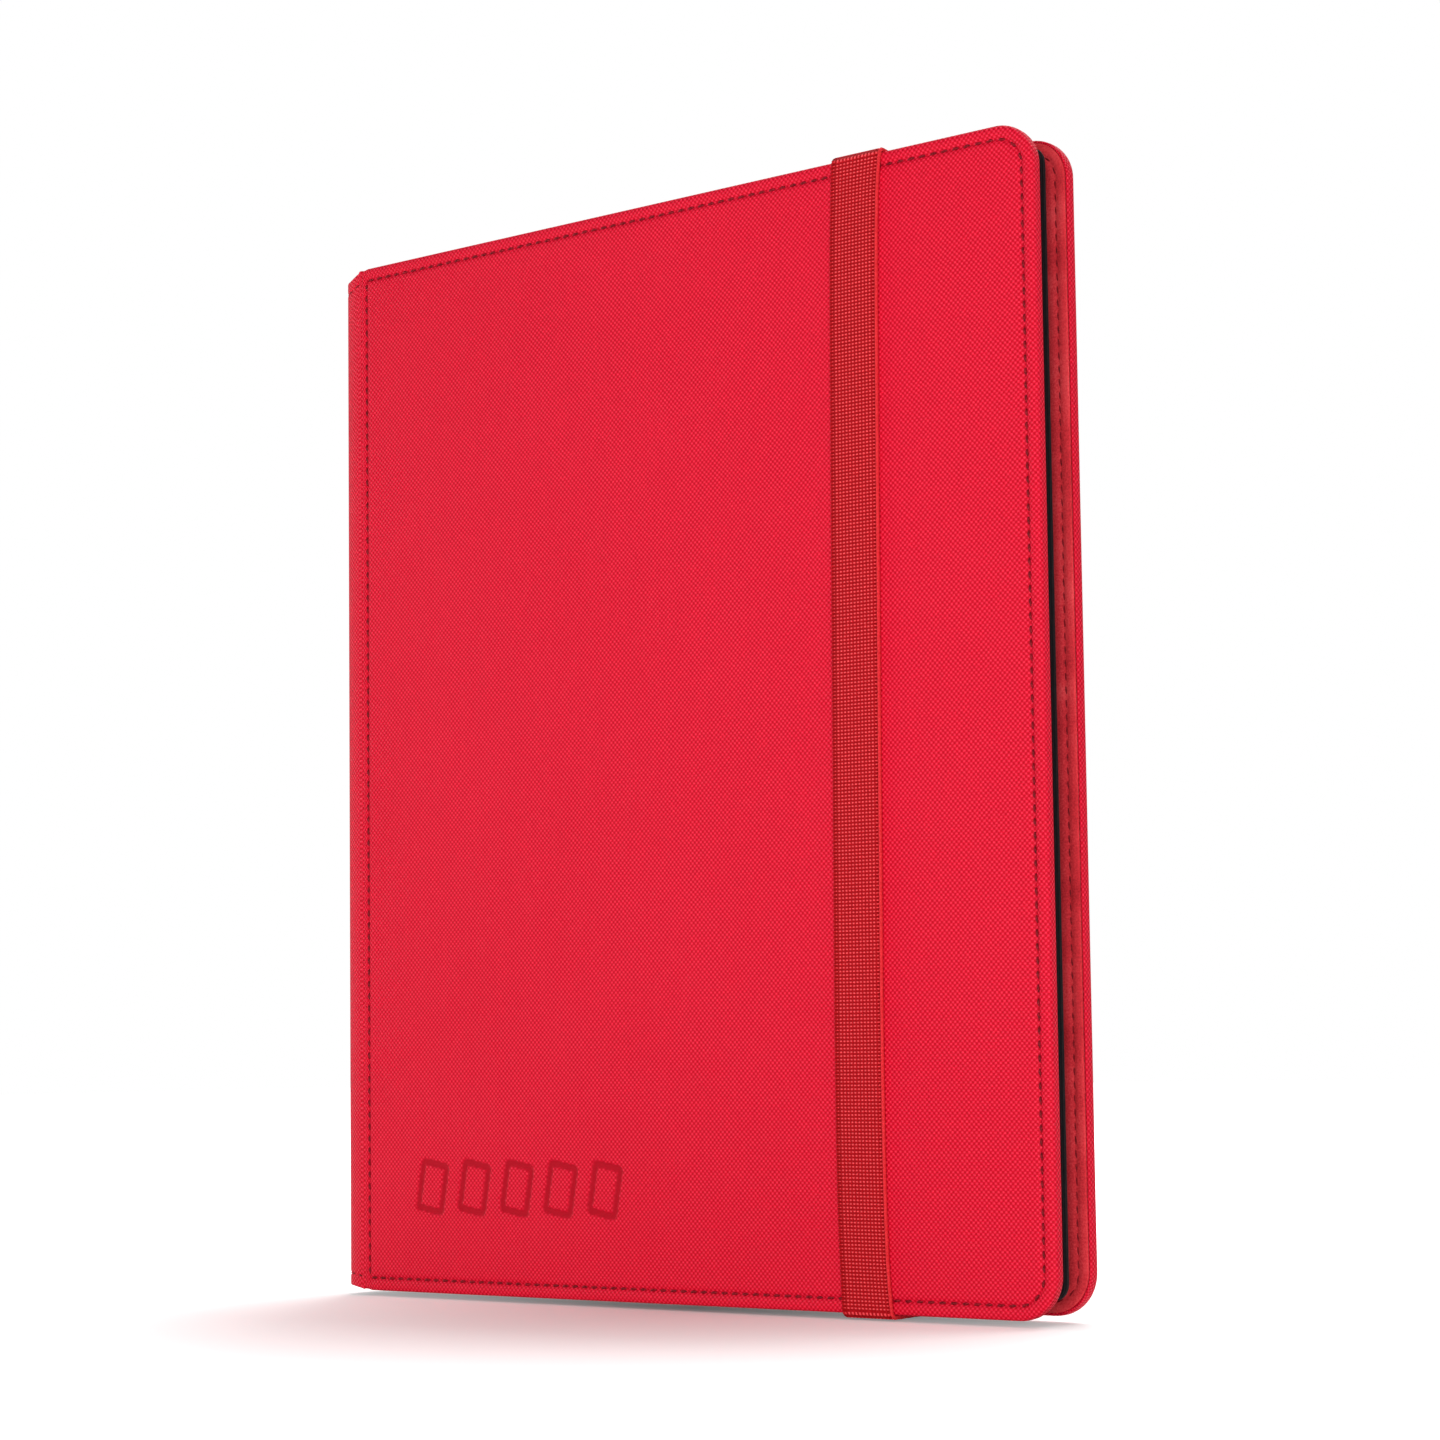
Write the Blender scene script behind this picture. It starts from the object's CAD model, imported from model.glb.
"""Card binder: padded covers, rounded spine, pocket leaves and an elastic strap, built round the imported
frame."""
import math

import bmesh
import bpy
import numpy as np
from mathutils import Matrix, Vector


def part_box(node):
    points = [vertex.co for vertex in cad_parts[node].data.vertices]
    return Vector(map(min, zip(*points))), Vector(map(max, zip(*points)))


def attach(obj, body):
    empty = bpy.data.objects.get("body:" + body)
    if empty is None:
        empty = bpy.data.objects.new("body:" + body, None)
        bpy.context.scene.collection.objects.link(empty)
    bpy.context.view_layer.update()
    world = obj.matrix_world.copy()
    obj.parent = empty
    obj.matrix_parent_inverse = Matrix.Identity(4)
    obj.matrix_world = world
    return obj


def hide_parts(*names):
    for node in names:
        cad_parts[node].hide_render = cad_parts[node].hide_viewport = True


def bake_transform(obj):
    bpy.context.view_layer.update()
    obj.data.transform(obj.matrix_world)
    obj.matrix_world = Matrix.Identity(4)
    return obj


bl_info = {
    "name": "Card Binder",
    "version": (1, 0, 0),
    "blender": (4, 5, 0),
    "location": "3D View > Sidebar > Binder",
    "description": "Builds the padded card binder round its packed frame",
    "category": "Object",
}

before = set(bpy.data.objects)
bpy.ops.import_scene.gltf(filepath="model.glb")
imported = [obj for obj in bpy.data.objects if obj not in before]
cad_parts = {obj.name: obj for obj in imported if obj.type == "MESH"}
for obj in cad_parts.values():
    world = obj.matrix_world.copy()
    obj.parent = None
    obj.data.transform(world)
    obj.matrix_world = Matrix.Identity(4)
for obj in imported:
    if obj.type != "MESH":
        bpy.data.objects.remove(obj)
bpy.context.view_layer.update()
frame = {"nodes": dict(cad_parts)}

MM = 0.001
FRONT_LO, FRONT_HI = (np.array(corner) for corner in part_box("front_cover_fabric"))
BACK_HI = np.array(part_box("back_cover_fabric")[1])
LINING_HI = np.array(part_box("front_cover_lining")[1])
STRAP_LO, STRAP_HI = (np.array(corner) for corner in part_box("strap_front_run"))
TOP_RUN_LO, TOP_RUN_HI = (np.array(corner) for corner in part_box("strap_top_run"))
SPINE_LO, SPINE_HI = (np.array(corner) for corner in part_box("spine_fabric"))
LEAVES = sorted(n for n in frame["nodes"] if n.startswith("page_") and n[5:].isdigit())

MID_Y = (FRONT_LO[1] + BACK_HI[1]) / 2
CLOSED_T = BACK_HI[1] - FRONT_LO[1]
AXIS_X = SPINE_LO[0] + CLOSED_T / 2   # the middle of the spine's round
SEAM_X = AXIS_X + 1.0 * MM            # the hinge seams
FOLD = SEAM_X - FRONT_LO[0]           # folded edge between a hinge seam and the hinge gap
SEAM_INSET = 4.2 * MM                 # the perimeter seam's distance from the edge
FACE_STEP = 2.6 * MM                  # distance between the grid lines of a cover's face
STRAP_W = float(STRAP_HI[0] - STRAP_LO[0]) * 1.01   # loops and cord stand a little proud of the webbing


# ------------------------------------------------------------------ sizes and colours

class BINDER_PG_cloth(bpy.types.PropertyGroup):
    """Sizes and colours of the covers and their lining."""
    red: bpy.props.StringProperty(
        name="Cover red", description="sRGB colour of the coated cover cloth", default="#DF0E33")
    red_high: bpy.props.StringProperty(
        name="Cover highlight", description="sRGB colour on top of the texture's bumps", default="#EE3049")
    red_low: bpy.props.StringProperty(
        name="Cover shade", description="sRGB colour between the texture's bumps", default="#C2041C")
    suede: bpy.props.StringProperty(
        name="Suede", description="sRGB colour of the microfibre lining", default="#DA323C")
    texture_pitch: bpy.props.FloatProperty(
        name="Texture pitch", description="Distance between bumps in a row", default=1.62 * MM,
        unit="LENGTH", precision=5)
    corner_radius: bpy.props.FloatProperty(
        name="Corner radius", description="Radius of the fore-edge corners", default=13 * MM,
        unit="LENGTH", precision=4)
    seam_inset: bpy.props.FloatProperty(
        name="Seam inset", description="Distance of the perimeter seam from the edge", default=SEAM_INSET,
        unit="LENGTH", precision=4)
    stitch_pitch: bpy.props.FloatProperty(
        name="Stitch pitch", description="Length of one lockstitch", default=4.0 * MM,
        unit="LENGTH", precision=4)


class BINDER_PG_strap(bpy.types.PropertyGroup):
    """Sizes and colours of the elastic strap."""
    light: bpy.props.StringProperty(
        name="Strap light", description="sRGB colour of the yarn's raised side", default="#FF5359")
    dark: bpy.props.StringProperty(
        name="Strap dark", description="sRGB colour between the yarns", default="#980008")
    row_pitch: bpy.props.FloatProperty(
        name="Row pitch", description="Distance between weft rows", default=1.1 * MM,
        unit="LENGTH", precision=5)
    rib_pitch: bpy.props.FloatProperty(
        name="Rib pitch", description="Distance between warp ribs", default=1.25 * MM,
        unit="LENGTH", precision=5)
    edge_cord: bpy.props.FloatProperty(
        name="Edge cord", description="Width of the round cord along the fore-edge side", default=1.0 * MM,
        unit="LENGTH", precision=4)


class BINDER_PG_leaves(bpy.types.PropertyGroup):
    """Sizes and colours of the pocket leaves."""
    sheet: bpy.props.StringProperty(
        name="Sheet", description="sRGB colour of the black middle sheet", default="#18181B")
    pocket_width: bpy.props.FloatProperty(
        name="Pocket width", description="Width of one card pocket", default=72 * MM,
        unit="LENGTH", precision=4)
    pocket_height: bpy.props.FloatProperty(
        name="Pocket height", description="Height of one card pocket", default=98 * MM,
        unit="LENGTH", precision=4)


def settings():
    """The scene's three groups of settings."""
    scene = bpy.context.scene
    return scene.binder_cloth, scene.binder_strap, scene.binder_leaves


# ------------------------------------------------------------------ mesh helpers

def put_mesh(name, points, faces, uv=None, smooth=True, marks=None):
    """Makes an object from arrays of points and faces, with an optional map of cloth coordinates per point
    and optional named values per point, which its material reads."""
    mesh = bpy.data.meshes.new(name)
    mesh.from_pydata(np.asarray(points, float).tolist(), [], [list(map(int, f)) for f in faces])
    if uv is not None:
        layer = mesh.uv_layers.new(name="cloth")
        corner = np.zeros(len(mesh.loops), np.int32)
        mesh.loops.foreach_get("vertex_index", corner)
        layer.data.foreach_set("uv", np.asarray(uv, float)[corner].astype(np.float32).ravel())
    for mark, values in (marks or {}).items():
        attribute = mesh.attributes.new(mark, "FLOAT", "POINT")
        attribute.data.foreach_set("value", np.asarray(values, np.float32))
    mesh.polygons.foreach_set("use_smooth", np.full(len(mesh.polygons), smooth))
    mesh.validate()
    mesh.update()
    obj = bpy.data.objects.new(name, mesh)
    bpy.context.scene.collection.objects.link(obj)
    return obj


def grid_faces(rows, columns, close_rows=False, close_columns=False, start=0):
    """Quads of a grid of rows by columns points, counted row by row, closed on itself where asked."""
    i = np.arange(rows if close_rows else rows - 1)[:, None]
    j = np.arange(columns if close_columns else columns - 1)[None, :]
    a = i * columns + j
    b = i * columns + (j + 1) % columns
    c = ((i + 1) % rows) * columns + (j + 1) % columns
    d = ((i + 1) % rows) * columns + j
    return start + np.stack([a, b, c, d], -1).reshape(-1, 4)


def finish_piece(obj, body, material, slot, *nodes):
    """Gives a piece its material and slot, and lets it ride on a body in place of CAD nodes."""
    obj.data.materials.append(material)
    if nodes:
        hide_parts(*nodes)
    if body:
        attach(obj, body)
    return obj


def mirrored(points):
    """Points of a front cover piece at the same place on the back cover: y turned over the middle of the
    binder."""
    out = np.array(points, float)
    out[:, 1] = 2 * MID_Y - out[:, 1]
    return out


def lines_between(start, end, step):
    """Evenly spaced values from start to end, about one step apart."""
    count = max(1, int(round(abs(end - start) / step)))
    return np.linspace(start, end, count + 1)


def joined_lines(*parts):
    """Sorted values of several runs of lines without repeats."""
    values = np.sort(np.concatenate(parts))
    return values[np.concatenate([[True], np.diff(values) > 1e-7])]


# ------------------------------------------------------------------ material helpers

def linear(hex_colour):
    """An sRGB hex colour as linear red, green, blue and full alpha."""
    value = hex_colour.lstrip("#")
    parts = [int(value[k:k + 2], 16) / 255 for k in (0, 2, 4)]
    turned = [c / 12.92 if c <= 0.04045 else ((c + 0.055) / 1.055) ** 2.4 for c in parts]
    return (*turned, 1.0)


def add_node(tree, kind, values=None, links=None, stops=(), **settings_of_node):
    """Adds a node of a kind, sets its own settings and input values, and links inputs from outputs. stops
    are the (position, linear colour) pairs of a ramp."""
    node = tree.nodes.new(kind)
    for key, value in settings_of_node.items():
        setattr(node, key, value)
    for place, colour in stops[1:-1]:
        node.color_ramp.elements.new(place).color = colour
    if stops:
        first, last = node.color_ramp.elements[0], node.color_ramp.elements[-1]
        first.position, first.color = stops[0]
        last.position, last.color = stops[-1]
    for key, value in (values or {}).items():
        node.inputs[key].default_value = value
    for key, output in (links or {}).items():
        tree.links.new(output, node.inputs[key])
    return node


def new_material(name, **shader_values):
    """A material with one Principled BSDF, whose constant values are set on its own sockets."""
    material = bpy.data.materials.new(name)
    material.use_nodes = True
    tree = material.node_tree
    shader = tree.nodes["Principled BSDF"]
    for key, value in shader_values.items():
        shader.inputs[key.replace("_", " ")].default_value = value
    return material, tree, shader


def ripple(tree, coordinate, pitch):
    """A pattern's wave: the cosine of a coordinate, with one crest each pitch."""
    turn = add_node(tree, "ShaderNodeMath", {1: 2 * math.pi / pitch}, {0: coordinate}, operation="MULTIPLY")
    return add_node(tree, "ShaderNodeMath", links={0: turn.outputs[0]}, operation="COSINE").outputs[0]


def coated_cover_cloth():
    """Polyurethane-coated polyester with an embossed weave: small diamond bumps in staggered rows, each
    with a soft highlight, and darker lines between them. The eye reads fine cloth with a faint plastic
    sheen."""
    cloth, _, _ = settings()
    material, tree, shader = new_material(
        "coated_cover_cloth", Roughness=0.46, IOR=1.5, Specular_IOR_Level=0.1)
    uv = add_node(tree, "ShaderNodeUVMap", uv_map="cloth")
    wobble = add_node(tree, "ShaderNodeTexNoise", {"Scale": 60.0, "Detail": 2.0}, {"Vector": uv.outputs[0]})
    shift = add_node(tree, "ShaderNodeVectorMath", {1: (0.5, 0.5, 0.5)}, {0: wobble.outputs["Color"]},
                     operation="SUBTRACT")
    drawn = add_node(tree, "ShaderNodeVectorMath", {1: (0.0009, 0.0009, 0.0)}, {0: shift.outputs[0]},
                     operation="MULTIPLY")
    placed = add_node(tree, "ShaderNodeVectorMath", links={0: uv.outputs[0], 1: drawn.outputs[0]},
                      operation="ADD")
    axes = add_node(tree, "ShaderNodeSeparateXYZ", links={0: placed.outputs[0]})
    across = ripple(tree, axes.outputs[0], cloth.texture_pitch)
    along = ripple(tree, axes.outputs[1], cloth.texture_pitch)
    product = add_node(tree, "ShaderNodeMath", links={0: across, 1: along}, operation="MULTIPLY")
    woven = add_node(tree, "ShaderNodeMapRange", {1: -0.8, 2: 1.0, 3: 0.0, 4: 1.0},
                     {0: product.outputs[0]}, interpolation_type="SMOOTHSTEP")
    # the hot press irons the texture nearly flat inside the motif
    pressed = add_node(tree, "ShaderNodeAttribute", attribute_name="pressed")
    bump_height = add_node(tree, "ShaderNodeMix", {3: 0.3}, {0: pressed.outputs["Fac"], 2: woven.outputs[0]})
    fine = add_node(tree, "ShaderNodeTexNoise", {"Scale": 2600.0, "Detail": 2.0}, {"Vector": uv.outputs[0]})
    blotch = add_node(tree, "ShaderNodeTexNoise", {"Scale": 14.0, "Detail": 3.0}, {"Vector": uv.outputs[0]})
    grain = add_node(tree, "ShaderNodeMath", {1: 0.2, 2: -0.1}, {0: fine.outputs["Fac"]},
                     operation="MULTIPLY_ADD")
    patch = add_node(tree, "ShaderNodeMath", {1: 0.14, 2: -0.07}, {0: blotch.outputs["Fac"]},
                     operation="MULTIPLY_ADD")
    with_grain = add_node(tree, "ShaderNodeMath", links={0: bump_height.outputs[0], 1: grain.outputs[0]},
                          operation="ADD")
    tone = add_node(tree, "ShaderNodeMath", links={0: with_grain.outputs[0], 1: patch.outputs[0]},
                    operation="ADD")
    colour = add_node(tree, "ShaderNodeValToRGB", links={"Fac": tone.outputs[0]}, stops=[
        (0.0, linear(cloth.red_low)), (0.5, linear(cloth.red)), (1.0, linear(cloth.red_high))])
    darkened = add_node(tree, "ShaderNodeMath", {1: 0.8}, {0: pressed.outputs["Fac"]}, operation="MULTIPLY")
    inked = add_node(tree, "ShaderNodeMix", {7: linear("#A80A1E")},
                     {0: darkened.outputs[0], 6: colour.outputs[0]}, data_type="RGBA")
    # dust and shade gather in the seam, where the cloth is drawn tight
    seam = add_node(tree, "ShaderNodeAttribute", attribute_name="seam")
    shade = add_node(tree, "ShaderNodeMath", {1: 0.28}, {0: seam.outputs["Fac"]}, operation="MULTIPLY")
    shaded = add_node(tree, "ShaderNodeMix", {7: linear("#8E0016")},
                      {0: shade.outputs[0], 6: inked.outputs[2]},
                      data_type="RGBA")
    tree.links.new(shaded.outputs[2], shader.inputs["Base Color"])
    bump = add_node(tree, "ShaderNodeBump", {"Strength": 0.7, "Distance": 0.25 * MM},
                    {"Height": with_grain.outputs[0]})
    tree.links.new(bump.outputs[0], shader.inputs["Normal"])
    rough = add_node(tree, "ShaderNodeMapRange", {1: 0.0, 2: 1.0, 3: 0.58, 4: 0.4},
                     {0: bump_height.outputs[0]})
    tree.links.new(rough.outputs[0], shader.inputs["Roughness"])
    return material


def suede_lining():
    """Brushed microfibre suede: a short nap that catches light softly, with lighter and darker strokes."""
    cloth, _, _ = settings()
    material, tree, shader = new_material(
        "brushed_microfibre_suede", Roughness=0.92, IOR=1.45, Sheen_Weight=0.15, Sheen_Roughness=0.35,
        Sheen_Tint=(1.0, 0.45, 0.42, 1.0), Specular_IOR_Level=0.2)
    uv = add_node(tree, "ShaderNodeUVMap", uv_map="cloth")
    nap = add_node(tree, "ShaderNodeTexNoise", {"Scale": 1500.0, "Detail": 4.0, "Roughness": 0.7},
                   {"Vector": uv.outputs[0]})
    strokes = add_node(tree, "ShaderNodeTexNoise", {"Scale": 45.0, "Detail": 3.0}, {"Vector": uv.outputs[0]})
    both = add_node(tree, "ShaderNodeMath", links={0: nap.outputs["Fac"], 1: strokes.outputs["Fac"]},
                    operation="ADD")
    half = add_node(tree, "ShaderNodeMath", {1: 0.5}, {0: both.outputs[0]}, operation="MULTIPLY")
    colour = add_node(tree, "ShaderNodeValToRGB", links={"Fac": half.outputs[0]}, stops=[
        (0.30, linear("#9C121E")), (0.5, linear(cloth.suede)), (0.72, linear("#F45C60"))]).outputs["Color"]
    tree.links.new(colour, shader.inputs["Base Color"])
    bump = add_node(tree, "ShaderNodeBump", {"Strength": 0.6, "Distance": 0.15 * MM},
                    {"Height": nap.outputs["Fac"]})
    tree.links.new(bump.outputs[0], shader.inputs["Normal"])
    return material


def stitching_thread():
    """Bonded polyester sewing thread, dyed to match and sunk into the cloth, so it reads as dark red dashes
    with the twist of the yarn."""
    material, tree, shader = new_material("bonded_polyester_thread", Roughness=0.6, IOR=1.53,
                                          Specular_IOR_Level=0.2)
    place = add_node(tree, "ShaderNodeTexCoord")
    twist = add_node(tree, "ShaderNodeTexNoise", {"Scale": 1800.0, "Detail": 1.0},
                     {"Vector": place.outputs["Object"]})
    colour = add_node(tree, "ShaderNodeValToRGB", links={"Fac": twist.outputs["Fac"]}, stops=[
        (0.3, linear("#5C0009")), (0.7, linear("#960A1C"))]).outputs["Color"]
    tree.links.new(colour, shader.inputs["Base Color"])
    bump = add_node(tree, "ShaderNodeBump", {"Strength": 0.4, "Distance": 0.1 * MM},
                    {"Height": twist.outputs["Fac"]})
    tree.links.new(bump.outputs[0], shader.inputs["Normal"])
    return material


def woven_elastic():
    """Woven elastic webbing: weft rows over covered rubber warp give a grid of small raised stitches with
    dark gaps. One selvedge is looped, the other is a smooth round cord."""
    _, strap, _ = settings()
    cord_edge, loop_edge = STRAP_W / 2 - strap.edge_cord, -STRAP_W / 2
    material, tree, shader = new_material(
        "woven_elastic_webbing", Roughness=0.62, IOR=1.5, Specular_IOR_Level=0.08)
    uv = add_node(tree, "ShaderNodeUVMap", uv_map="cloth")
    axes = add_node(tree, "ShaderNodeSeparateXYZ", links={0: uv.outputs[0]})
    rows = ripple(tree, axes.outputs[1], strap.row_pitch)
    ribs = ripple(tree, axes.outputs[0], strap.rib_pitch)
    rows_up = add_node(tree, "ShaderNodeMapRange", {1: -0.7, 2: 0.8, 3: 0.0, 4: 1.0}, {0: rows},
                       interpolation_type="SMOOTHSTEP")
    ribs_up = add_node(tree, "ShaderNodeMapRange", {1: -0.9, 2: 0.7, 3: 0.1, 4: 1.0}, {0: ribs},
                       interpolation_type="SMOOTHSTEP")
    weave = add_node(tree, "ShaderNodeMath", links={0: rows_up.outputs[0], 1: ribs_up.outputs[0]},
                     operation="MULTIPLY")
    # past this edge the smooth cord takes the weave's place
    cord = add_node(tree, "ShaderNodeMapRange",
                    {1: cord_edge - 0.15 * MM, 2: cord_edge + 0.1 * MM, 3: 0.0, 4: 1.0}, {0: axes.outputs[0]})
    # a shaded groove beside the cord, and one beside the loops
    from_cord = add_node(tree, "ShaderNodeMath", {1: cord_edge - 0.3 * MM}, {0: axes.outputs[0]},
                         operation="SUBTRACT")
    from_loops = add_node(tree, "ShaderNodeMath", {1: loop_edge + 1.45 * MM}, {0: axes.outputs[0]},
                          operation="SUBTRACT")
    near_cord = add_node(tree, "ShaderNodeMath", links={0: from_cord.outputs[0]}, operation="ABSOLUTE")
    near_loops = add_node(tree, "ShaderNodeMath", links={0: from_loops.outputs[0]}, operation="ABSOLUTE")
    nearest = add_node(tree, "ShaderNodeMath", links={0: near_cord.outputs[0], 1: near_loops.outputs[0]},
                       operation="MINIMUM")
    groove = add_node(tree, "ShaderNodeMapRange", {1: 0.15 * MM, 2: 0.5 * MM, 3: 0.36, 4: 0.0},
                      {0: nearest.outputs[0]}, interpolation_type="SMOOTHSTEP")
    fine = add_node(tree, "ShaderNodeTexNoise", {"Scale": 1900.0, "Detail": 2.0}, {"Vector": uv.outputs[0]})
    smooth_tone = add_node(tree, "ShaderNodeMath", {1: 0.3, 2: 0.36}, {0: fine.outputs["Fac"]},
                           operation="MULTIPLY_ADD")
    woven_tone = add_node(tree, "ShaderNodeMath", {1: 0.35}, {0: fine.outputs["Fac"], 2: weave.outputs[0]},
                          operation="MULTIPLY_ADD")
    lowered = add_node(tree, "ShaderNodeMath", {1: -0.09}, {0: woven_tone.outputs[0]}, operation="ADD")
    # the loops of the other selvedge stand apart, with dark gaps between them
    loops = add_node(tree, "ShaderNodeMapRange",
                     {1: loop_edge + 1.0 * MM, 2: loop_edge + 1.3 * MM, 3: 1.0, 4: 0.0}, {0: axes.outputs[0]})
    loop_tone = add_node(tree, "ShaderNodeMath", {1: 0.5, 2: -0.22}, {0: rows_up.outputs[0]},
                         operation="MULTIPLY_ADD")
    edged = add_node(tree, "ShaderNodeMix", links={0: loops.outputs[0], 2: lowered.outputs[0],
                                                   3: loop_tone.outputs[0]})
    tone = add_node(tree, "ShaderNodeMix", links={0: cord.outputs[0], 2: edged.outputs[0],
                                                  3: smooth_tone.outputs[0]})
    grooved = add_node(tree, "ShaderNodeMath", links={0: tone.outputs[0], 1: groove.outputs[0]},
                       operation="SUBTRACT")
    colour = add_node(tree, "ShaderNodeValToRGB", links={"Fac": grooved.outputs[0]}, stops=[
        (0.0, linear(strap.dark)), (0.42, linear("#D01A26")), (0.9, linear(strap.light))]).outputs["Color"]
    tree.links.new(colour, shader.inputs["Base Color"])
    bump = add_node(tree, "ShaderNodeBump", {"Strength": 1.0, "Distance": 0.35 * MM},
                    {"Height": grooved.outputs[0]})
    tree.links.new(bump.outputs[0], shader.inputs["Normal"])
    return material


def black_leaf_sheet():
    """Extruded polypropylene sheet, matt black with a fine leather grain that scatters the light."""
    _, _, leaves = settings()
    material, tree, shader = new_material("matt_polypropylene_sheet", Roughness=0.42, IOR=1.49)
    place = add_node(tree, "ShaderNodeTexCoord")
    grain = add_node(tree, "ShaderNodeTexVoronoi", {"Scale": 1200.0}, {"Vector": place.outputs["Object"]},
                     feature="SMOOTH_F1")
    colour = add_node(tree, "ShaderNodeValToRGB", links={"Fac": grain.outputs["Distance"]}, stops=[
        (0.0, linear(leaves.sheet)), (1.0, linear("#242428"))]).outputs["Color"]
    tree.links.new(colour, shader.inputs["Base Color"])
    bump = add_node(tree, "ShaderNodeBump", {"Strength": 0.3, "Distance": 0.05 * MM},
                    {"Height": grain.outputs["Distance"]})
    tree.links.new(bump.outputs[0], shader.inputs["Normal"])
    return material


def clear_pocket_film():
    """Cast polypropylene pocket film: clear and glossy with faint waves, so the black sheet shows through
    it and lights slide over it."""
    material, tree, shader = new_material(
        "cast_polypropylene_film", IOR=1.49, Base_Color=linear("#D8DCE2"), Specular_IOR_Level=0.7)
    place = add_node(tree, "ShaderNodeTexCoord")
    waves = add_node(tree, "ShaderNodeTexNoise", {"Scale": 22.0, "Detail": 2.0},
                     {"Vector": place.outputs["Object"]})
    bump = add_node(tree, "ShaderNodeBump", {"Strength": 0.25, "Distance": 0.8 * MM},
                    {"Height": waves.outputs["Fac"]})
    tree.links.new(bump.outputs[0], shader.inputs["Normal"])
    # the welds between the pockets are pressed matt and look milky
    weld = add_node(tree, "ShaderNodeAttribute", attribute_name="weld")
    cover = add_node(tree, "ShaderNodeMapRange", {3: 0.1, 4: 0.26}, {0: weld.outputs["Fac"]})
    rough = add_node(tree, "ShaderNodeMapRange", {3: 0.12, 4: 0.55}, {0: weld.outputs["Fac"]})
    tree.links.new(cover.outputs[0], shader.inputs["Alpha"])
    tree.links.new(rough.outputs[0], shader.inputs["Roughness"])
    return material


def speckled(name, low, high, scale, roughness, bump_strength=0.3):
    """A plain material of the covers' insides: two tones mixed by a grain of the given scale in cells per
    metre."""
    material, tree, shader = new_material(name, Roughness=roughness)
    place = add_node(tree, "ShaderNodeTexCoord")
    grain = add_node(tree, "ShaderNodeTexNoise", {"Scale": scale, "Detail": 4.0},
                     {"Vector": place.outputs["Object"]})
    colour = add_node(tree, "ShaderNodeValToRGB", links={"Fac": grain.outputs["Fac"]}, stops=[
        (0.35, linear(low)), (0.65, linear(high))]).outputs["Color"]
    tree.links.new(colour, shader.inputs["Base Color"])
    bump = add_node(tree, "ShaderNodeBump", {"Strength": bump_strength, "Distance": 0.1 * MM},
                    {"Height": grain.outputs["Fac"]})
    tree.links.new(bump.outputs[0], shader.inputs["Normal"])
    return material


def material_named(name, maker):
    """A material by name, made the first time it is asked for."""
    return bpy.data.materials.get(name) or maker()


def cover_cloth():
    """The covers' and the spine's outer cloth."""
    return material_named("coated_cover_cloth", coated_cover_cloth)


def suede():
    """The lining of the covers and the spine."""
    return material_named("brushed_microfibre_suede", suede_lining)


def thread():
    """The thread of every seam."""
    return material_named("bonded_polyester_thread", stitching_thread)


# ------------------------------------------------------------------ panels

# Side profile of a cover's outer cloth as (inset from the outline, depth under the outer face), in mm. It
# starts under the lining, rolls round the edge, sinks into the perimeter seam and comes up to the padded
# face.
CLOTH_PROFILE = np.array([
    (4.0, 3.72), (1.25, 3.74), (0.93, 3.82), (0.76, 4.02), (0.52, 4.2), (0.25, 4.18), (0.04, 3.95),
    (-0.05, 3.5), (-0.1, 2.85), (-0.12, 2.1), (-0.1, 1.4), (0.02, 0.75), (0.36, 0.27), (0.95, -0.02),
    (1.75, -0.08), (2.55, -0.03), (3.15, 0.12), (3.65, 0.36), (3.95, 0.62), (4.2, 0.72), (4.45, 0.6),
    (4.8, 0.32), (5.3, 0.1), (6.0, 0.0)])

# The same for the suede lining, whose depth is counted from the lining's visible face towards the board.
LINING_PROFILE = np.array([
    (4.0, 0.78), (1.25, 0.76), (0.95, 0.62), (0.86, 0.38), (0.98, 0.14), (1.35, 0.02), (2.5, 0.0),
    (3.4, 0.08), (3.85, 0.26), (4.2, 0.36), (4.55, 0.26), (5.0, 0.08), (6.0, 0.0)])

# The pressed motif: a row of leaning card outlines low on the front cover
MOTIF_DEPTH = 0.38 * MM
MOTIF_CARDS = 5
MOTIF_FIRST_X = SEAM_X + 29 * MM
MOTIF_PITCH = 18.5 * MM
MOTIF_Z = FRONT_LO[2] + 35 * MM
MOTIF_HALF_W, MOTIF_HALF_H = 6.25 * MM, 8.75 * MM


def squared_circle(s, t):
    """Maps a square corner patch with sides 0 to 1 onto a quarter disc: concentric squares become
    concentric arcs."""
    big = np.maximum(s, t)
    small = np.minimum(s, t)
    turn = np.where(big > 0, small / np.maximum(big, 1e-12), 0) * math.pi / 4
    along, aside = big * np.cos(turn), big * np.sin(turn)
    return np.where(s >= t, along, aside), np.where(s >= t, aside, along)


def panel_plan(x_lines, z_lines, radius):
    """The points of a flat panel whose two right corners are round: a grid of lines, bent to arcs in each
    corner patch. Returns the points' X and Z."""
    x, z = np.meshgrid(x_lines, z_lines, indexing="ij")
    right, low, high = x_lines[-1], z_lines[0], z_lines[-1]
    for side, edge in ((1, high), (-1, low)):
        s = (x - (right - radius)) / radius
        t = (side * (z - edge) + radius) / radius
        inside = (s > 0) & (t > 0)
        bent_s, bent_t = squared_circle(np.clip(s, 0, 1), np.clip(t, 0, 1))
        x = np.where(inside, right - radius + radius * bent_s, x)
        z = np.where(inside, edge + side * radius * (bent_t - 1), z)
    return x, z


def border_walk(rows, columns):
    """Row and column of a grid's border points, in order round it."""
    low = [(i, 0) for i in range(rows)]
    right = [(rows - 1, j) for j in range(1, columns)]
    high = [(i, columns - 1) for i in range(rows - 2, -1, -1)]
    left = [(0, j) for j in range(columns - 2, 0, -1)]
    return np.array(low + right + high + left)


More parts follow.
